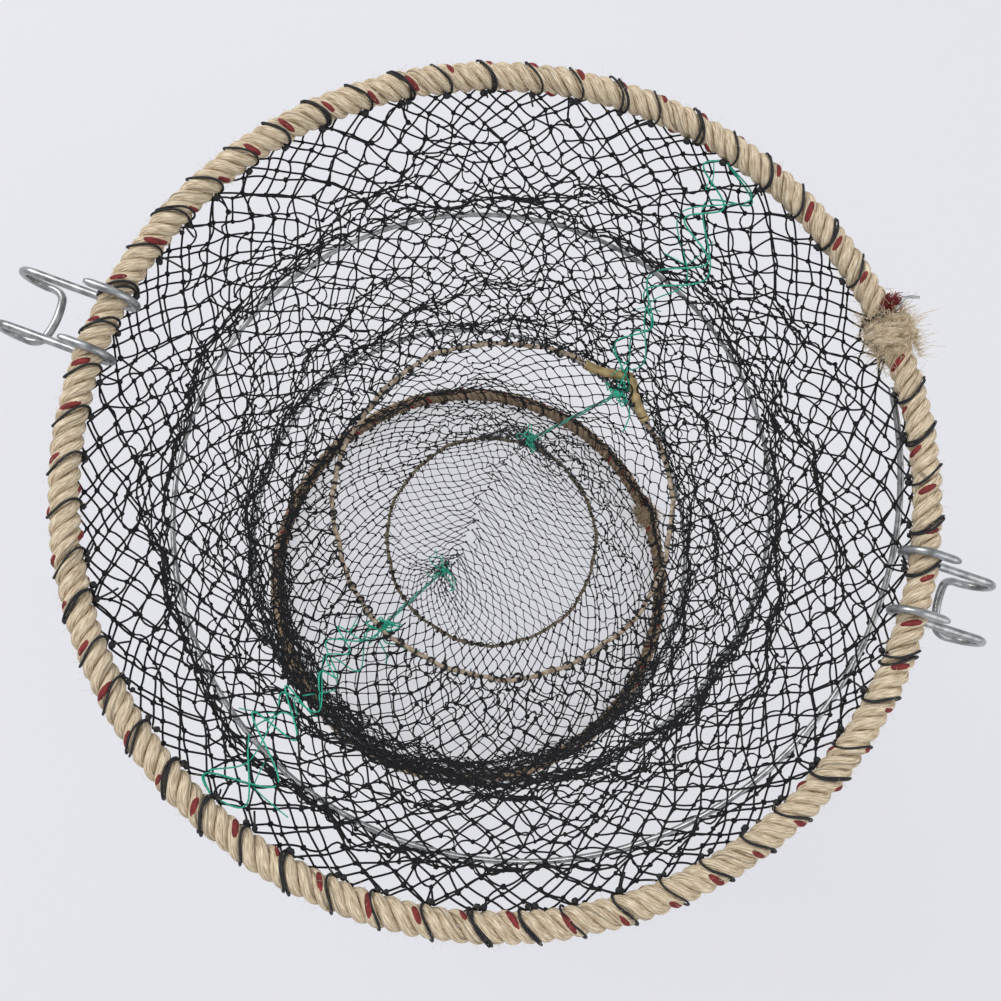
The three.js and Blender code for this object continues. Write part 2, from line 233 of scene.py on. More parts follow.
def bar_tubes(tubes, starts, ends, bend, radius, sides=5, steps=4):
    """Adds many short bent bars at once. bend is each bar's sideways bow."""
    t = np.linspace(0, 1, steps + 1)[:, None, None]
    middle = (starts + ends) / 2 + bend * 2
    path = (1 - t) ** 2 * starts + 2 * t * (1 - t) * middle + t**2 * ends
    ahead = ends - starts
    ahead /= np.linalg.norm(ahead, axis=1, keepdims=True) + 1e-12
    across = np.cross(ahead, np.array([0.21, 0.37, 0.9]))
    across /= np.linalg.norm(across, axis=1, keepdims=True) + 1e-12
    other = np.cross(ahead, across)
    a = np.arange(sides) / sides * TAU
    round_it = np.cos(a)[:, None, None] * across + np.sin(a)[:, None, None] * other
    points = path[:, None] + radius * round_it[None]
    rings, bars = steps + 1, len(starts)
    points = points.transpose(2, 0, 1, 3).reshape(-1, 3)
    one = grid_faces(rings, sides, False)
    shift = (np.arange(bars) * rings * sides)[:, None, None] + tubes.count
    tubes.quads.append((one[None] + shift).reshape(-1, 4))
    tubes.verts.append(points)
    tubes.uv.append(np.zeros((len(points), 2)))
    cap = np.arange(sides)
    tubes.caps.append(cap[::-1][None] + shift[:, 0])
    tubes.caps.append(cap[None] + (rings - 1) * sides + shift[:, 0])
    tubes.count += len(points)


def knots(tubes, points, size, axis, rng, sides=6):
    """Adds a small lumpy knot at each point, stretched along axis."""
    levels = np.array([-1.0, -0.62, 0.0, 0.62, 1.0])
    wide = np.array([0.25, 0.85, 1.0, 0.85, 0.25])
    axis = axis / (np.linalg.norm(axis, axis=1, keepdims=True) + 1e-12)
    across = np.cross(axis, rng.normal(size=axis.shape))
    across /= np.linalg.norm(across, axis=1, keepdims=True) + 1e-12
    other = np.cross(axis, across)
    a = np.arange(sides) / sides * TAU
    n = len(points)
    size = size * rng.uniform(0.85, 1.2, (n, 1, 1, 1))
    lump = rng.uniform(0.82, 1.15, (n, len(levels), sides, 1))
    round_it = np.cos(a)[:, None] * across[:, None] + np.sin(a)[:, None] * other[:, None]
    verts = round_it[:, None] * wide[None, :, None, None] * lump
    verts = (verts + axis[:, None, None] * levels[None, :, None, None] * 0.95) * size
    verts = (verts + points[:, None, None]).reshape(-1, 3)
    one = grid_faces(len(levels), sides, False)
    shift = (np.arange(n) * len(levels) * sides)[:, None, None] + tubes.count
    tubes.quads.append((one[None] + shift).reshape(-1, 4))
    cap = np.arange(sides)
    tubes.caps.append(cap[::-1][None] + shift[:, 0])
    tubes.caps.append(cap[None] + (len(levels) - 1) * sides + shift[:, 0])
    tubes.verts.append(verts)
    tubes.uv.append(np.zeros((len(verts), 2)))
    tubes.count += len(verts)


# ---------------------------------------------------------------- materials
def principled(name, colour, roughness, metallic=0.0, shine=0.5):
    material = bpy.data.materials.new(f"trap_{name}")
    material.use_nodes = True
    shader = material.node_tree.nodes["Principled BSDF"]
    shader.inputs["Base Color"].default_value = (*colour, 1)
    shader.inputs["Roughness"].default_value = roughness
    shader.inputs["Metallic"].default_value = metallic
    shader.inputs["Specular IOR Level"].default_value = shine
    return material, material.node_tree, shader


def noise_between(tree, vector, scale, low, high, detail=3.0):
    """A colour that wanders between two colours."""
    noise = tree.nodes.new("ShaderNodeTexNoise")
    noise.inputs["Scale"].default_value = scale
    noise.inputs["Detail"].default_value = detail
    tree.links.new(vector, noise.inputs["Vector"])
    ramp = tree.nodes.new("ShaderNodeValToRGB")
    ramp.color_ramp.elements[0].position = 0.32
    ramp.color_ramp.elements[1].position = 0.68
    ramp.color_ramp.elements[0].color = (*low, 1)
    ramp.color_ramp.elements[1].color = (*high, 1)
    tree.links.new(noise.outputs["Fac"], ramp.inputs["Fac"])
    return ramp.outputs["Color"], noise.outputs["Fac"]


def add_bump(tree, shader, height, strength, distance):
    bump = tree.nodes.new("ShaderNodeBump")
    bump.inputs["Strength"].default_value = strength
    bump.inputs["Distance"].default_value = distance
    tree.links.new(height, bump.inputs["Height"])
    tree.links.new(bump.outputs["Normal"], shader.inputs["Normal"])


def object_coordinates(tree):
    return tree.nodes.new("ShaderNodeTexCoord").outputs["Object"]


def fibre_material(name, low, high, roughness, stretch, strength, distance):
    """Fibres that run along a tube, from its own coordinates."""
    material, tree, shader = principled(name, high, roughness)
    uv = tree.nodes.new("ShaderNodeUVMap")
    uv.uv_map = "strand"
    mapping = tree.nodes.new("ShaderNodeMapping")
    mapping.inputs["Scale"].default_value = stretch
    tree.links.new(uv.outputs["UV"], mapping.inputs["Vector"])
    colour, height = noise_between(tree, mapping.outputs["Vector"], 1.0, low, high, 5.0)
    tree.links.new(colour, shader.inputs["Base Color"])
    add_bump(tree, shader, height, strength, distance)
    return material


def metal_material(name, low, high, roughness):
    """Metal with slow changes of colour and polish."""
    material, tree, shader = principled(name, high, roughness, 0.9)
    colour, height = noise_between(tree, object_coordinates(tree), 240, low, high)
    tree.links.new(colour, shader.inputs["Base Color"])
    rough = tree.nodes.new("ShaderNodeMapRange")
    rough.inputs["To Min"].default_value = roughness - 0.08
    rough.inputs["To Max"].default_value = roughness + 0.12
    tree.links.new(height, rough.inputs["Value"])
    tree.links.new(rough.outputs["Result"], shader.inputs["Roughness"])
    add_bump(tree, shader, height, 0.15, 0.0002)
    return material


def twine_material(name, low, high, roughness, scale, shine):
    """Twine, cord or plastic with a fine grain."""
    material, tree, shader = principled(name, high, roughness, 0.0, shine)
    colour, height = noise_between(tree, object_coordinates(tree), scale, low, high)
    tree.links.new(colour, shader.inputs["Base Color"])
    add_bump(tree, shader, height, 0.5, 0.0003)
    return material


# dark colour, light colour, roughness, grain along and round the strand, bump strength and depth
FIBRES = {
    "rope": ((0.34, 0.24, 0.13), (0.92, 0.79, 0.58), 0.9, (260, 30, 1), 1.0, 0.0009),
    # The bottom ring's rope: the same rope as the top ring's, with both colours darkened as painted shade.
    "rope_in_painted_shade": ((0.11, 0.07, 0.04), (0.47, 0.35, 0.23), 0.9, (260, 30, 1), 0.9, 0.0008),
    "tracer": ((0.08, 0.007, 0.007), (0.26, 0.024, 0.022), 0.8, (420, 6, 1), 0.5, 0.0003),
}
# dark colour, light colour, roughness, grain, shine
TWINES = {
    "fuzz": ((0.50, 0.38, 0.23), (0.80, 0.68, 0.50), 0.9, 300, 0.5),
    "net": ((0.003, 0.003, 0.004), (0.012, 0.013, 0.015), 0.75, 900, 0.25),
    "fine_net": ((0.015, 0.015, 0.017), (0.045, 0.047, 0.052), 0.75, 900, 0.25),
    "lashing": ((0.004, 0.004, 0.005), (0.018, 0.019, 0.022), 0.6, 900, 0.35),
    "cord": ((0.16, 0.11, 0.07), (0.50, 0.41, 0.30), 0.85, 500, 0.5),
    "bottom_cord": ((0.08, 0.06, 0.035), (0.26, 0.21, 0.13), 0.85, 500, 0.5),
    "sleeve": ((0.20, 0.14, 0.05), (0.44, 0.33, 0.15), 0.4, 260, 0.5),
    "green": ((0.004, 0.22, 0.14), (0.02, 0.50, 0.33), 0.45, 900, 0.5),
}
# dark colour, light colour, roughness
METALS = {
    "wire": ((0.20, 0.21, 0.21), (0.46, 0.47, 0.47), 0.27),
    "rod": ((0.55, 0.55, 0.55), (0.85, 0.85, 0.85), 0.28),
}
MATERIALS = {name: fibre_material(name, *values) for name, values in FIBRES.items()}
MATERIALS |= {name: twine_material(name, *values) for name, values in TWINES.items()}
MATERIALS |= {name: metal_material(name, *values) for name, values in METALS.items()}


def place(obj, body, replaced=(), fold_from=None):
    """Gives a piece its body, hides the CAD nodes it stands for and, if fold_from is given, gives it its
    own copy of its mesh.
    """
    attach(obj, body)
    if replaced:
        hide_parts(*replaced)
    if fold_from is not None:
        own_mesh(obj)
    return obj


# ---------------------------------------------------------------- rope-wrapped rings
def ring_frame(degrees, ring_z):
    """Centre of the ring's section, and its outward and upward directions."""
    out = polar(1.0, degrees)
    centre = on_axis(out * RING_R) + [0, 0, ring_z]
    up = np.broadcast_to([0.0, 0.0, 1.0], out.shape)
    return centre, out, up


def beside(degrees, turn, distance, ring_z):
    """A point at a distance from the ring's rod. turn is 0 outwards and rises to the top, in radians."""
    centre, out, up = ring_frame(degrees, ring_z)
    turn = np.asarray(turn, float)[..., None]
    distance = np.asarray(distance, float)[..., None]
    return centre + distance * (np.cos(turn) * out + np.sin(turn) * up)


def away_from_rod(at, turn, start, ring_z):
    """The direction from start to a point well clear of the rope at the same place."""
    return beside(at, turn, ROPE_R + 0.01, ring_z) - start


def above(path, height):
    """The path, with no point lower than height."""
    path[:, 2] = np.maximum(path[:, 2], height)
    return path


def waves(a, counts, low, high, rng):
    """A slow random wave round the ring: one sine for each count."""
    return sum(rng.uniform(low, high) * np.sin(a * k + rng.uniform(0, TAU)) for k in counts)


def rope_hairs(tubes, ring_z, count, rng):
    for _ in range(count):
        at = rng.uniform(0, 360)
        turn = rng.uniform(0, TAU)
        start = beside(at, turn, ROPE_R - 0.0005, ring_z)
        direction = away_from_rod(at, turn, start, ring_z)
        direction /= np.linalg.norm(direction)
        lean = rng.normal(size=3)
        length = rng.uniform(0.0012, 0.0036)
        t = np.linspace(0, 1, 4)[:, None]
        path = start + direction * length * t * (1 - 0.55 * t) + lean * length * 0.45 * t**1.5
        tubes.add(above(path, FLOOR_GAP), HAIR_R, 3)


def wrapped_ring(place_name, ring_z, body, kind, seed):
    """Three laid strands wound round a steel rod, with a red tracer yarn in one of them."""
    rng = np.random.default_rng(seed)
    steps = ROPE_TURNS * 24
    degrees = np.arange(steps) / steps * 360
    a = np.radians(degrees)
    _, out, up = ring_frame(degrees, ring_z)
    rope, tracer, fuzz, rod = Tubes(), Tubes(), Tubes(), Tubes()

    for strand in range(STRANDS):
        slack = waves(a, (7, 19, 37, 83), 0.03, 0.07, rng)
        wander = sum(0.00007 * np.sin(a * k + rng.uniform(0, TAU)) for k in (5, 23, 61, 97))
        turn = -ROPE_TURNS * a + strand * TAU / STRANDS + slack
        path = beside(degrees, turn, STRAND_OFFSET + wander, ring_z)
        away = np.cos(turn)[:, None] * out + np.sin(turn)[:, None] * up
        _, normal, side = frames_along(path, True)
        phase = np.arctan2((away * side).sum(1), (away * normal).sum(1)) - YARN_TURNS * a

        def yarns(_, angle):
            ridge = np.abs(np.cos(1.5 * (angle - phase[:, None])))
            return 0.90 + 0.115 * ridge**0.8

        rope.add(path, STRAND_R, 20, closed=True, shape=yarns)
        if strand == 0:
            # The tracer breaks the surface once a turn, at a spot that wanders.
            spot = math.pi / 2 + 0.9 * np.sin(3 * a + 1) + 0.5 * np.sin(11 * a)
            crest = 0.45 * np.cos(2 * (turn - spot)) + 0.10 * np.sin(17 * a + 2)
            reach = STRAND_R + TRACER_R * (crest - 1.22)
            tracer.add(path + away * reach[:, None], TRACER_R, 16, closed=True)

    rope_hairs(fuzz, ring_z, ROPE_HAIRS[body], rng)
    centre, _, _ = ring_frame(np.arange(360) * 1.0, ring_z)
    rod.add(centre, ROD_R, 14, closed=True)
    place(rope.make(f"{place_name}_rope", MATERIALS[kind]), body, [f"{place_name}_rope_wrap"])
    place(tracer.make(f"{place_name}_rope_tracer", MATERIALS["tracer"]), body)
    place(fuzz.make(f"{place_name}_rope_fuzz", MATERIALS["fuzz"]), body)
    place(rod.make(f"{place_name}_rod", MATERIALS["rod"]), body, [f"{place_name}_ring_rod"])


def frayed_knot(place_name, ring_z, body, kind, seed):
    """The ball of rope yarns that closes a ring's wrap, its fuzz and its red tuft."""
    rng = np.random.default_rng(seed)
    yarns, fuzz, red = Tubes(), Tubes(), Tubes()
    yarn_r, yarn_count, tuft_count, fuzz_count = 0.0016, 22, 200, 2400
    for i in range(yarn_count):
        t = np.linspace(0, 1, 34)
        at = KNOT_ANGLE + rng.uniform(-1.2, 1.2) + (t - 0.5) * rng.uniform(-5.5, 5.5)
        turn = rng.uniform(0, TAU) + t * rng.uniform(0.35, 0.8) * TAU * rng.choice([-1, 1])
        reach = ROPE_R + 0.0040 * np.sin(t * math.pi) - 0.0018 + 0.0007 * np.sin(9 * t + 2 * i)
        path = above(beside(at, turn, reach, ring_z), yarn_r + 0.0001)
        yarns.add(path, yarn_r, 10, shape=lambda s, a: 1 + 0.14 * np.cos(3 * a + s * 1500))
    for _ in range(tuft_count):
        at = KNOT_ANGLE + 3.6 + rng.normal() * 0.35
        base = beside(at, rng.uniform(1.0, 1.9), ROPE_R + 0.0008, ring_z)
        t = np.linspace(0, 1, 6)[:, None]
        lift = (rng.normal(size=3) + [0.9, 0.9, 0.8]) * 0.0016
        curl = rng.normal(size=3) * 0.0022
        red.add(base + lift * t + curl * t * (1 - t), 0.00016, 4)
    for _ in range(fuzz_count):
        at = KNOT_ANGLE + rng.normal() * 1.9
        turn = rng.uniform(0, TAU)
        start = beside(at, turn, ROPE_R + 0.0016, ring_z)
        direction = away_from_rod(at, turn, start, ring_z)
        direction = direction / np.linalg.norm(direction) + rng.normal(size=3) * 0.8
        t = np.linspace(0, 1, 5)[:, None]
        length = rng.uniform(0.0008, 0.0022) * rng.choice([1, 1, 1, 1, 1, 1, 2])
        path = start + direction * length * t + rng.normal(size=3) * length * 0.6 * t**2
        fuzz.add(above(path, FLOOR_GAP), 0.00009, 3)
    place(yarns.make(f"{place_name}_knot", MATERIALS[kind]), body, [f"{place_name}_rope_knot"])
    place(fuzz.make(f"{place_name}_knot_fuzz", MATERIALS["fuzz"]), body)
    place(red.make(f"{place_name}_knot_tuft", MATERIALS["tracer"]), body)


wrapped_ring("top", TOP_Z, "top", "rope", 3)
# The bottom ring's rope and its knot take the rope colours darkened as painted shade.
wrapped_ring("bottom", BOTTOM_Z, "base", "rope_in_painted_shade", 4)
frayed_knot("top", TOP_Z, "top", "rope", 5)
frayed_knot("bottom", BOTTOM_Z, "base", "rope_in_painted_shade", 6)


# ---------------------------------------------------------------- netting
def lean_at(z):
    """How far the coil and the sleeve lean off the axis at height z."""
    share = np.sin(math.pi * np.clip((z - BOTTOM_Z) / SPACING, 0, 1))
    towards = np.array([math.cos(BOW["towards"]), math.sin(BOW["towards"]), 0])
    return share[..., None] * BOW["reach"] * towards


def spring_path(t):
    """The coil's centre line, from its top end at t = 0 to its bottom end at t = 1."""
    degrees = SPRING["start"] - 360 * SPRING["turns"] * t
    drop = SPRING["clear"] + (SPACING - 2 * SPRING["clear"]) * t
    tilt = SPRING["tilt"] * np.sin(math.pi * t) ** 2 * np.cos(np.radians(degrees - SPRING["low"]))
    z = TOP_Z - drop - tilt
    return on_axis(polar(SPRING["radius"], degrees, z) + lean_at(z))


def diamond(rows, columns=MESHES):
    """Bars of a diamond net: node (row, column) joins two nodes of the next row."""
    row, column = np.meshgrid(np.arange(rows - 1), np.arange(columns), indexing="ij")
    here = row * columns + column
    odd = row % 2
    left = (row + 1) * columns + (column - 1 + odd) % columns
    right = (row + 1) * columns + (column + odd) % columns
    bars = np.concatenate([np.stack([here, left], -1), np.stack([here, right], -1)])
    return bars.reshape(-1, 2)


def column_angles(rows, rng, jitter=0.0):
    """Where each node of a net lies round the ring: every other row is half a mesh on."""
    row, column = np.meshgrid(np.arange(rows), np.arange(MESHES), indexing="ij")
    shift = 0.5 * (row % 2)
    angle = (column + shift) / MESHES * 360
    return angle + rng.normal(size=angle.shape) * jitter


def all_but_ends(rows):
    """1 for each node that may move, and 0 for the first and last rows."""
    free = np.ones(rows * MESHES)
    free[:MESHES] = 0
    free[-MESHES:] = 0
    return free


def relax(points, bars, rest, free, sag, rounds):
    """Lets a net settle: no bar grows past its length, and free nodes sink by sag each round."""
    p = points.copy()
    a, b = bars.T
    n = len(p)
    uses = np.bincount(a, minlength=n) + np.bincount(b, minlength=n)
    weight = (free / np.maximum(uses, 1))[:, None]
    for _ in range(rounds):
        p = p + np.array([0, 0, -sag]) * free[:, None]
        for _ in range(6):
            d = p[b] - p[a]
            length = np.linalg.norm(d, axis=1)
            over = np.maximum(length - rest, 0) / (length + 1e-9)
            push = d * (over * 0.5)[:, None]
            move = np.stack(
                [np.bincount(a, push[:, k], n) - np.bincount(b, push[:, k], n) for k in range(3)], -1
            )
            p = p + move * weight * 2.6
    return p


def net_piece(name, net, rng, rows=None, skip_rows=0, knot=NET_KNOT, bow=1.0, radius=TWINE_R, kind="net"):
    """Twine bars with their slack drawn as a bow, and a knot where four bars meet."""
    points, bars, rest = net
    tubes = Tubes()
    start, end = points[bars[:, 0]], points[bars[:, 1]]
    length = np.linalg.norm(end - start, axis=1)
    slack = np.sqrt(np.maximum(rest**2 - length**2, 0)) * 0.42 * bow
    side = rng.normal(size=start.shape) + [0, 0, -0.5]
    ahead = (end - start) / (length[:, None] + 1e-9)
    side -= ahead * (side * ahead).sum(1)[:, None]
    side /= np.linalg.norm(side, axis=1, keepdims=True)
    most_bend = 0.0032
    bend = side * np.minimum(slack + rng.uniform(0.0001, 0.0007, len(bars)), most_bend)[:, None]
    axis = np.zeros_like(points)
    np.add.at(axis, bars[:, 0], ahead)
    axis += rng.normal(size=points.shape) * 0.3
    first, last = rows or (0, len(points) // MESHES)
    row = bars.min(1) // MESHES
    use = (row >= first) & (row < last)
    bar_tubes(tubes, start[use], end[use], bend[use], radius)
    keep = slice(max(first, skip_rows) * MESHES, last * MESHES)
    knots(tubes, points[keep], knot, axis[keep], rng)
    return tubes.make(name, MATERIALS[kind])


def nearest_lashing(degrees):
    step = 360 / LASHINGS
    return np.round((degrees - GROOVE) / step) * step + GROOVE


def drifting_waves(a, v, counts, low, high, drift, rng):
    """Random waves round the ring, each of which turns as v goes down the net."""
    return sum(
        rng.uniform(low, high) * np.sin(a * k + rng.uniform(0, TAU) + v * rng.uniform(-drift, drift))
        for k in counts
    )


def funnel_net(ring_z, throat_centre, sign, seed):
    """A net that is lashed to its ring, narrows to its throat and sags between them."""
    rng = np.random.default_rng(seed)
    rows = FUNNEL_ROWS
    angle = column_angles(rows, rng)
    angle[0] = 0.8 * nearest_lashing(angle[0]) + 0.2 * angle[0]
    v = (np.arange(rows) / (rows - 1))[:, None]
    a = np.radians(angle)
    sway = drifting_waves(a, v, (3, 5, 8, 13), 0.5, 1.1, 4, rng)
    angle = angle + sway * np.sin(math.pi * v) * 0.9
    mouth = on_axis(polar(RING_R - ROPE_R + 0.0004, angle, ring_z - sign * 0.0022))
    end = polar(THROAT_R, angle, 0) + throat_centre
    points = mouth * (1 - v[..., None]) + end * v[..., None]
    ruffle = drifting_waves(a, v, (4, 7, 11), 0.5, 1, 5, rng)
    points[..., 2] += ruffle * 0.0022 * np.sin(math.pi * v)
    points[1:-1] += rng.normal(size=points[1:-1].shape) * 0.0017
    bars = diamond(rows)
    rest = BAR * rng.uniform(0.94, 1.12, len(bars))
    points = relax(points.reshape(-1, 3), bars, rest, all_but_ends(rows), 0.0001, 60)
    return (points, bars, rest), rng


top_net, top_rng = funnel_net(TOP_Z, TOP_THROAT, 1, 11)
place(net_piece("top_funnel_netting", top_net, top_rng, skip_rows=1), "top", ["top_funnel_net"], TOP_Z)

low_net, low_rng = funnel_net(BOTTOM_Z, BOTTOM_THROAT, -1, 12)
piece = net_piece("bottom_funnel_netting", low_net, low_rng, skip_rows=1)
place(piece, "base", ["bottom_funnel_net"], BOTTOM_Z)


def distance_to_hoops(angle, z):
    """Height from each node of the sleeve to the nearest ring or turn of the coil."""
    t = np.linspace(0, 1, 4000)
    coil_z = spring_path(t)[:, 2]
    nowhere = 10
    heights = [np.full(angle.shape, TOP_Z), np.full(angle.shape, BOTTOM_Z)]
    for turn in range(-3, 2):
        share = (SPRING["start"] - angle - 360 * turn) / (360 * SPRING["turns"])
        there = np.interp(share, t, coil_z)
        heights.append(np.where((share > 0) & (share < 1), there, nowhere))
    return np.min(np.abs(np.stack(heights) - z), axis=0)


def side_netting(seed):
    """The sleeve: drawn over the coil's turns and slack between them, in bands of rows."""
    rng = np.random.default_rng(seed)
    rows = SIDE_ROWS
    angle = column_angles(rows, rng, 0.3)
    v = (np.arange(rows) / (rows - 1))[:, None]
    z = np.broadcast_to(TOP_Z - 0.006 - (SPACING - 0.013) * v, angle.shape)
    near = distance_to_hoops(angle, z)
    waist = 0.011 * (1 - np.exp(-((near / 0.035) ** 2)))
    a = np.radians(angle)
    ruffle = 0.3 * np.sin(a * 9 + z * 60) + 0.25 * np.sin(a * 17 - z * 41) + 0.2 * np.sin(a * 5 + z * 90)
    radius = SPRING["radius"] + COIL_R + 0.0012 - waist * (1 + ruffle)
    rows_from_end = np.minimum(v, 1 - v) * (rows - 1)
    radius = radius + (RING_R - radius) * np.exp(-((rows_from_end / 1.6) ** 2))
    points = on_axis(polar(radius, angle, z) + lean_at(z)).reshape(-1, 3)
    bars = diamond(rows)
    rest = BAR * rng.uniform(0.95, 1.12, len(bars))
    held = near.reshape(-1) < 0.004
    free = np.where(held, 0.0, all_but_ends(rows))
    points = points + rng.normal(size=points.shape) * 0.0012 * free[:, None]
    points = relax(points, bars, rest, free, 0.00008, 40)
    for band in range(SIDE_BANDS):
        span = (band * rows // SIDE_BANDS, (band + 1) * rows // SIDE_BANDS)
        piece = net_piece(f"side_netting_{band + 1}", (points, bars, rest), rng, rows=span)
        place(piece, "base", ["side_net"], STACK_FROM)


side_netting(13)


def slit_netting(seed):
    """The lips: from the bottom throat up to a slit that two cords hold open."""
    rng = np.random.default_rng(seed)
    rows = SLIT_ROWS
    angle = column_angles(rows, rng, 0.3)
    v = (np.arange(rows) / (rows - 1))[:, None]
    a = np.radians(angle) - SLIT["turn"]
    ring = np.stack([THROAT_R * np.cos(a), THROAT_R * np.sin(a), np.zeros_like(a)], -1)
    tips = rng.uniform(-1.2, 1.8, a.shape)
    curve = 0.007 * np.sin(2.4 * np.cos(a) + 0.5) * np.sin(a) ** 2
    across = SLIT["wide"] * np.sin(a) * tips + curve
    lip = np.stack([SLIT["long"] * np.cos(a), across, np.zeros_like(a)], -1)
    shape = ring * (1 - v[..., None]) + lip * v[..., None]
    height = (SLIT_TOP - 0.001 - BOTTOM_THROAT[2]) * v**0.85
    belly = 0.010 * np.sin(math.pi * v) * np.sin(a) ** 2
    for k in (2, 3, 5):
        wave = np.sin(a * k + rng.uniform(0, TAU) + v * rng.uniform(-4, 4)) * np.sin(math.pi * v)
        shape += wave[..., None] * rng.normal(size=3) * 0.0022
    shape[..., 2] += height - belly - 0.006 * v**4 * np.sin(a) ** 2
    c, s = math.cos(SLIT["turn"]), math.sin(SLIT["turn"])
    x = shape[..., 0] * c - shape[..., 1] * s
    y = shape[..., 0] * s + shape[..., 1] * c
    shape[..., 0], shape[..., 1] = x, y
    top = on_axis([*SLIT["middle"], BOTTOM_THROAT[2]])
    points = shape + BOTTOM_THROAT * (1 - v[..., None]) + top * v[..., None]
    points[1:] += rng.normal(size=points[1:].shape) * 0.0012
    bars = diamond(rows)
    rest = BAR * rng.uniform(0.85, 1.0, len(bars))
    points = relax(points.reshape(-1, 3), bars, rest, all_but_ends(rows), 0.00004, 20)
    net = (points, bars, rest)
    return net_piece(
        "slit_netting", net, rng, skip_rows=1, knot=0.0008, bow=0.9, radius=FINE_TWINE_R, kind="fine_net"
    )


place(slit_netting(14), "base", ["slit_net"], BOTTOM_Z)


# ---------------------------------------------------------------- lashings
def apart(one, other):
    """The angle between two places round the ring."""
    return abs((one - other + 180) % 360 - 180)


def ring_lashings(name, ring_z, body, replaced, seed):
    """Twine drawn round the rope in the grooves between its strands, with knots inside."""
    rng = np.random.default_rng(seed)
    tubes = Tubes()
    lowest = 0.0008
    legs = [at + s * LATCH_LEG for at, _ in LATCHES.values() for s in (-1, 1)]
    for i in range(LASHINGS):
        at = i / LASHINGS * 360 + GROOVE + rng.uniform(-0.3, 0.3)
        if body == "top" and any(apart(at, leg) < LEG_GAP for leg in legs):
            continue
        if apart(at, KNOT_ANGLE) < KNOT_GAP:
            continue
        for k in range(rng.integers(1, 3)):
            t = np.linspace(0, 1, 36)
            turn = math.radians(200) + t * TAU
            slant = rng.uniform(0.9, 1.5)
            along = at + slant * np.cos(turn) + rng.normal() * 0.3 + 0.3 * np.sin(2 * turn + k)
            reach = ROPE_R - 0.0005 * np.abs(np.sin(turn)) ** 2 + 0.0004 + 0.0002 * k
            path = beside(along, turn, reach, ring_z)
            tubes.add(above(path, lowest), LASHING_R * rng.uniform(0.70, 0.95), 6)
        for _ in range(2):
            knot_at = np.array([at + rng.normal() * 0.5])
            middle = beside(knot_at, math.radians(195), ROPE_R + 0.0010, ring_z)
            knots(tubes, middle, 0.0013, rng.normal(size=(1, 3)), rng)
        if rng.uniform() < 0.45:
            t = np.linspace(0, 1, 6)[:, None]
            start = beside(at, math.radians(170), ROPE_R + 0.0008, ring_z)
            inward = on_axis([0, 0, ring_z]) - start
            inward = inward / np.linalg.norm(inward) + rng.normal(size=3) * 0.6
            path = start + inward * rng.uniform(0.003, 0.006) * t + rng.normal(size=3) * 0.002 * t**2
            tubes.add(above(path, lowest), LASHING_R * 0.7, 5)
    return place(tubes.make(name, MATERIALS["lashing"]), body, replaced)


for end, ring_z, body, seed in (("top", TOP_Z, "top", 21), ("bottom", BOTTOM_Z, "base", 22)):
    stands_for = [f"{end}_lashing_back", f"{end}_lashing_front", f"spring_tie_{end}"]
    ring_lashings(f"{end}_lashings", ring_z, body, stands_for, seed)


def throat(name, centre, radius, material, body, replaced, seed, gap=None):
    """A throat's cord with the net's loops threaded on it and twine ends that stick inwards."""
    rng = np.random.default_rng(seed)
    cord, loops = Tubes(), Tubes()
    degrees = np.linspace(gap[1], gap[0] + 360, 240) if gap else np.arange(240) * 1.5
    a = np.radians(degrees)
    sway = 0.0006 * np.sin(7 * a + seed) + 0.0004 * np.sin(16 * a + 1) + 0.00022 * np.sin(35 * a)
    lift = 0.0005 * np.sin(6 * a + 2) + 0.0003 * np.sin(19 * a)
    path = polar(THROAT_R + sway, degrees, lift) + centre
    cord.add(path, radius * (1 + 0.12 * np.sin(23 * a)), 12, closed=not gap)
    for i in range(MESHES):
        at = (i + 0.5) / MESHES * 360 + rng.uniform(-0.9, 0.9)
        for _ in range(rng.integers(1, 3)):
            t = np.linspace(0, TAU, 15)
            reach = radius + rng.uniform(0.0004, 0.0011)
            tilt = rng.uniform(-1.6, 1.6)
            loop = polar(THROAT_R + reach * np.cos(t), at + tilt * np.sin(t), reach * np.sin(t))
            loops.add(loop + centre, 0.00045, 5)
        if rng.uniform() < 0.5:
            inward = -polar(1.0, at + rng.uniform(-25, 25)) + rng.normal(size=3) * 0.25
            length = rng.uniform(0.003, 0.009)
            t = np.linspace(0, 1, 6)[:, None]
            start = polar(THROAT_R + 0.002, at) + centre
            path = start + inward * t * length + rng.normal(size=3) * t**2 * length * 0.3
            loops.add(path, 0.0004, 5)
            knots(loops, path[2:3], 0.0010, inward[None], rng)
    place(cord.make(name, MATERIALS[material]), body, replaced)
    place(loops.make(f"{name}_loops", MATERIALS["lashing"]), body)


SLEEVE_GAP = (31, 61)  # the sleeve covers the top cord's ends
throat("top_throat_ring", TOP_THROAT, 0.0011, "cord", "top_throat", ["top_throat_cord"], 31, SLEEVE_GAP)
throat(
    "bottom_throat_ring", BOTTOM_THROAT, 0.0012, "bottom_cord", "bottom_throat", ["bottom_throat_cord"], 32
)


def smooth_path(points, count):
    """A Catmull-Rom curve through the points, evenly spaced."""
    p = np.asarray(points, float)
    p = np.concatenate([[2 * p[0] - p[1]], p, [2 * p[-1] - p[-2]]])
    out = []
    for i in range(1, len(p) - 2):
        t = np.linspace(0, 1, 20, endpoint=False)[:, None]
        a, b, c, d = p[i - 1 : i + 3]
        square = (2 * a - 5 * b + 4 * c - d) * t**2
        cube = (3 * b - a - 3 * c + d) * t**3
        out.append(0.5 * (2 * b + (c - a) * t + square + cube))
    out = np.concatenate(out + [p[-2][None]])
    along = np.concatenate([[0], np.cumsum(np.linalg.norm(np.diff(out, axis=0), axis=1))])
    at = np.linspace(0, along[-1], count)
    return np.stack([np.interp(at, along, out[:, k]) for k in range(3)], -1)


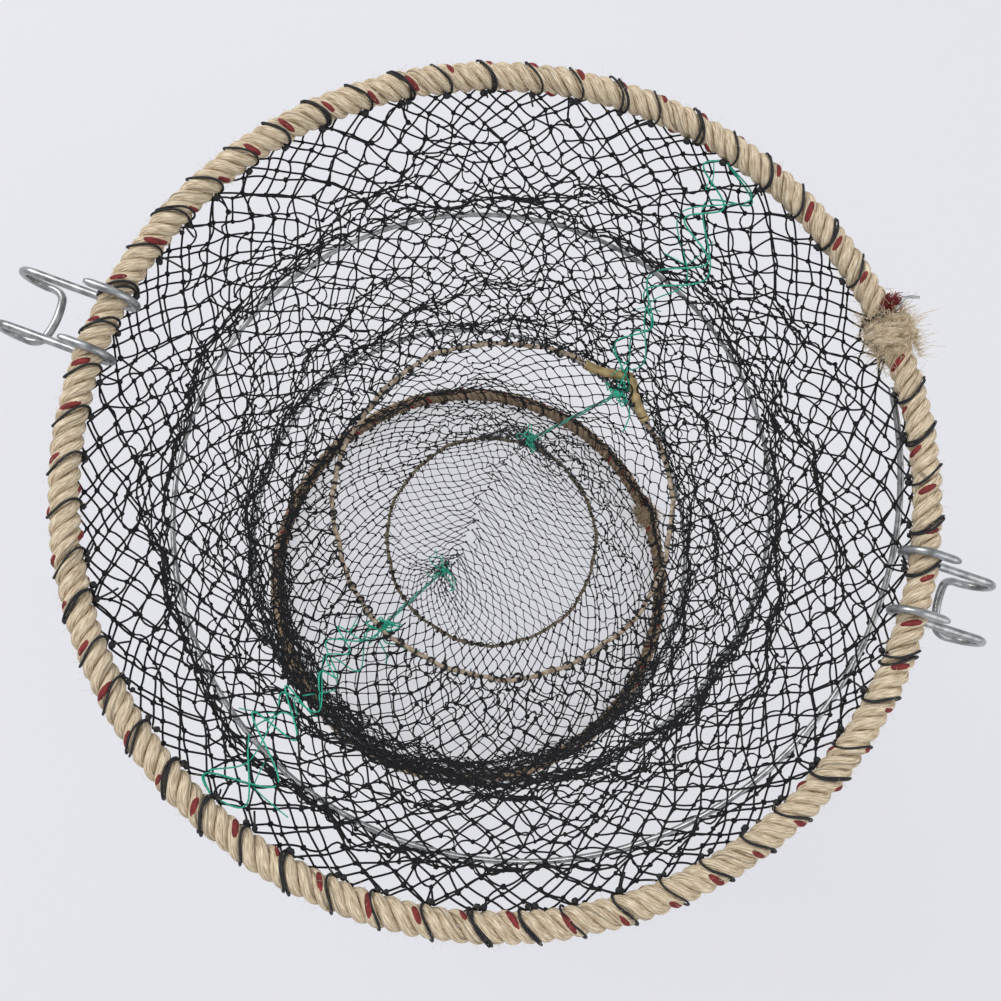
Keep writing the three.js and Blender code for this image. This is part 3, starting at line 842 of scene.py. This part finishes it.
def throat_sleeve():
    """A tube over the top cord's two ends, bent outwards at its middle."""
    half_angle, middle, radius = 14.7, 46, 0.0024
    # share of the half angle, and how far out of the throat's circle
    marks = [(-1, 0), (-0.55, 0.0016), (-0.08, 0.0078), (0.08, 0.0078), (0.55, 0.0016), (1, 0)]
    points = [polar(THROAT_R + out, middle + share * half_angle) + TOP_THROAT for share, out in marks]
    tubes = Tubes()
    tubes.add(smooth_path(points, 60), radius, 16)
    place(tubes.make("throat_joint", MATERIALS["sleeve"]), "top_throat", ["throat_sleeve"])


throat_sleeve()


# ---------------------------------------------------------------- spring and latches
def spring():
    """The coil, with twine wound on its lower part in runs of different pitch."""
    tubes = Tubes()
    tubes.add(spring_path(np.linspace(0, 1, 900)), COIL_R, 12)
    place(tubes.make("spring_wire", MATERIALS["wire"]), "base", ["coil_spring"], STACK_FROM)
    rng = np.random.default_rng(41)
    wrap = Tubes()
    share, wound_to = 0.40, 0.985
    wire_length = TAU * SPRING["radius"] * SPRING["turns"]
    while share < wound_to:
        turns = rng.integers(4, 14)
        pitch = rng.uniform(0.0035, 0.0065)
        span = turns * pitch / wire_length
        t = np.linspace(share, share + span, turns * 9)
        core = spring_path(t)
        _, normal, side = frames_along(core)
        spin = np.linspace(0, TAU * turns, len(t)) + rng.uniform(0, TAU)
        reach = COIL_R + 0.0004 + 0.0003 * np.sin(np.arange(len(t)) * 0.31)
        path = core + reach[:, None] * (np.cos(spin)[:, None] * normal + np.sin(spin)[:, None] * side)
        wrap.add(path, 0.00058, 5)
        share += span * rng.uniform(0.92, 1.15)
    place(wrap.make("spring_wraps", MATERIALS["lashing"]), "base", [], STACK_FROM)


spring()

PIVOT_R = RING_R * math.cos(math.asin(LATCH["half"] / RING_R))
POCKET_DROP = 2 * LATCH["bend"]
POCKET_OUT = math.sqrt(FOLDED**2 - POCKET_DROP**2)


def latch_points():
    """A latch's wire in its own frame: x outwards, y along the ring, z up, pivot at the origin."""

    def arc(centre_x, centre_z, start, end, count):
        a = np.radians(np.linspace(start, end, count))
        x = centre_x + LATCH["bend"] * np.cos(a)
        return [(p, LATCH["half"], q) for p, q in zip(x, centre_z + LATCH["bend"] * np.sin(a))]

    bend, across = LATCH["bend"], LATCH["half"]
    leg = [(LATCH["tip"], across, bend), (LATCH["tip"] / 2, across, bend)]
    leg += arc(0, 0, 90, 270, 9)
    leg += [(POCKET_OUT * 0.35, across, -bend), (POCKET_OUT * 0.7, across, -bend)]
    leg += arc(POCKET_OUT, -POCKET_DROP, 90, LATCH["curl_end"], 9)
    x, _, z = leg[-1]
    leg += [(x - 0.0032, across - 0.0012, z + 0.0002), (x - 0.005, across - LATCH["corner"], z + 0.0004)]
    mirrored = [(p, -q, r) for p, q, r in reversed(leg)]
    return np.array(leg + [(x - 0.006, 0, z + 0.0005)] + mirrored)


def latch(side, degrees, hang):
    """A wire latch: two legs looped over the ring, and a curl that grips the bottom ring."""
    path = smooth_path(latch_points(), 220)
    c, s = math.cos(math.radians(hang)), math.sin(math.radians(hang))
    path = np.stack([path[:, 0] * c + path[:, 2] * s, path[:, 1], path[:, 2] * c - path[:, 0] * s], -1)
    turn = math.radians(degrees)
    out = np.array([math.cos(turn), math.sin(turn), 0])
    along = np.array([-math.sin(turn), math.cos(turn), 0])
    path = (PIVOT_R + path[:, :1]) * out + path[:, 1:2] * along + path[:, 2:] * [0, 0, 1]
    path = on_axis(path) + [0, 0, TOP_Z]
    radius = np.full(len(path), WIRE_R)
    for k, share in enumerate((0.55, 0.8, 0.93)):
        radius[k] = radius[-1 - k] = WIRE_R * share
    tubes = Tubes()
    tubes.add(path, radius, 16)
    place(tubes.make(f"latch_{side}_wire", MATERIALS["wire"]), f"latch_{side}", [f"latch_{side}"])


for side, (degrees, hang) in LATCHES.items():
    latch(side, degrees, hang)


# ---------------------------------------------------------------- green twine
def seam(name, degrees, end_degrees, replaced, seed):
    """Loose green twine laced down the funnel, from knot to knot of the net."""
    rng = np.random.default_rng(seed)
    grid = top_net[0].reshape(FUNNEL_ROWS, MESHES, 3)
    tubes = Tubes()

    def node(row, offset):
        want = degrees + (end_degrees - degrees) * row / (FUNNEL_ROWS - 1) + offset
        column = int(round(want / 360 * MESHES - 0.5 * (row % 2))) % MESHES
        return grid[row, column] + [0, 0, 0.0009]

    for strand in range(3):
        stops, row, side = [node(0, 0)], 1, 1 if strand % 2 else -1
        while row < FUNNEL_ROWS - 1:
            stops.append(node(row, side * rng.uniform(0.5, 5.0)) + rng.normal(size=3) * 0.0008)
            row += int(rng.integers(1, 4))
            side = -side
        stops.append(node(FUNNEL_ROWS - 1, 0))
        tubes.add(smooth_path(stops, 220), rng.uniform(0.00030, 0.00042), 6)
    for row in range(2, FUNNEL_ROWS, 4):
        stop = node(row, rng.uniform(-3, 3))
        for _ in range(2):
            t = np.linspace(0, 1, 8)[:, None]
            path = stop + rng.normal(size=3) * 0.005 * t + rng.normal(size=3) * 0.004 * t**2
            tubes.add(path, 0.00026, 5)
    place(tubes.make(name, MATERIALS["green"]), "top", replaced, TOP_Z)


seam("seam_back", 54.4, 48, ["funnel_seam_a"], 51)
seam("seam_front", 228.2, 225, ["funnel_seam_b"], 52)


def tuft_strands(tubes, base, count, step, drift, radius, rng):
    """Short ragged strands that wander off from base."""
    for _ in range(count):
        stray = rng.normal(size=(5, 3)) * step - drift
        stray[0] = 0
        tubes.add(smooth_path(base + np.cumsum(stray, 0), 24), radius, 5)


def tie_cord(name, degrees, side, replaced, seed):
    """Two twines drawn from the top throat down to a corner of the slit, with a tuft at each end."""
    rng = np.random.default_rng(seed)
    top = polar(THROAT_R - 0.0015, degrees, -0.001) + TOP_THROAT
    corner = on_axis([*SLIT["middle"], 0]) + [0, 0, SLIT_TOP - 0.0005]
    reach = SLIT["long"] + 0.001
    corner = corner + side * reach * np.array([math.cos(SLIT["turn"]), math.sin(SLIT["turn"]), 0])
    green, black, tuft = Tubes(), Tubes(), Tubes()
    t = np.linspace(0, 1, 60)[:, None]
    for k, tubes in enumerate((green, green, black)):
        spin = t * 30 + k * 2.1
        wave = np.concatenate([np.cos(spin), np.sin(spin), 0 * spin], 1) * 0.0007
        tubes.add(top * (1 - t) + corner * t + wave, 0.00045, 6)
    tuft_strands(green, corner, 9, [0.0034, 0.0034, 0.0016], [0, 0, 0.0008], 0.00036, rng)
    knots(green, corner[None], 0.0020, np.array([[0.2, 0.3, 1.0]]), rng, 8)
    place(green.make(name, MATERIALS["green"]), "base", replaced, BOTTOM_Z)
    place(black.make(f"{name}_black", MATERIALS["lashing"]), "base", [], BOTTOM_Z)
    knots(tuft, np.array([top]), 0.0024, np.array([[0.3, 0.2, 1.0]]), rng, 8)
    tuft_strands(tuft, top, 10, [0.0036, 0.0036, 0.0018], 0, 0.00038, rng)
    return tuft


tuft = tie_cord("slit_cord_back", 45, 1, ["tie_cord_a"], 53)
place(tuft.make("throat_tuft_back", MATERIALS["green"]), "top_throat", ["tie_knot_a"])
tuft = tie_cord("slit_cord_front", 225, -1, ["tie_cord_b"], 54)
place(tuft.make("throat_tuft_front", MATERIALS["green"]), "top_throat", ["tie_knot_b"])


def wire_tail():
    """The bent end of the binding wire, beside the knot."""
    base = beside(KNOT_ANGLE + 2.4, math.radians(75), ROPE_R + 0.0020, TOP_Z)
    steps = [(0, 0, 0), (0.0022, 0.0034, 0.0012), (0.0044, 0.0052, 0.0019), (0.0095, 0.0054, 0.0014)]
    tubes = Tubes()
    tubes.add(smooth_path(base + np.array(steps), 30), 0.0006, 8)
    obj = place(tubes.make("binding_wire_tail", MATERIALS["wire"]), "top", ["top_wire_tail"])


wire_tail()


# ---------------------------------------------------------------- floor, light and camera
def studio():
    """A pale floor with a soft even light."""
    just_below = -0.0005
    bpy.ops.mesh.primitive_plane_add(size=12, location=(0, 0, just_below))
    floor = bpy.context.object
    floor.name = "studio_floor"
    material, _, shader = principled("floor", (0.27, 0.27, 0.28), 0.9)
    shader.inputs["Emission Color"].default_value = (0.78, 0.785, 0.83, 1)
    shader.inputs["Emission Strength"].default_value = 0.62
    floor.data.materials.append(material)
    world = bpy.data.worlds.new("studio")
    world.use_nodes = True
    background = world.node_tree.nodes["Background"]
    background.inputs["Color"].default_value = (0.86, 0.87, 0.92, 1)
    background.inputs["Strength"].default_value = 0.75
    bpy.context.scene.world = world
    lamps = [("key", (-1.3, 1.1, 2.2), 1.6, 34), ("fill", (1.6, -0.9, 1.9), 2.0, 16)]
    for name, where, size, power in lamps:
        lamp = bpy.data.lights.new(name, "AREA")
        lamp.energy = power
        lamp.size = size
        obj = bpy.data.objects.new(name, lamp)
        obj.location = where
        aim = Vector((0, 0, TOP_Z * 0.6)) - Vector(where)
        obj.rotation_euler = aim.to_track_quat("-Z", "Y").to_euler()
        bpy.context.collection.objects.link(obj)


def camera():
    """Looks down through the top ring from close above it, a little off its axis."""
    data = bpy.data.cameras.new("camera")
    data.sensor_width = 36
    data.lens = 35.96
    data.clip_start = 0.01
    obj = bpy.data.objects.new("camera", data)
    obj.location = Vector(AXIS) + Vector((-0.0242, -0.0748, TOP_Z + 0.3847))
    obj.rotation_euler = (math.radians(9.371), math.radians(-3.271), 0)
    bpy.context.collection.objects.link(obj)
    bpy.context.scene.camera = obj


studio()
camera()
bpy.context.scene.view_settings.view_transform = "Standard"
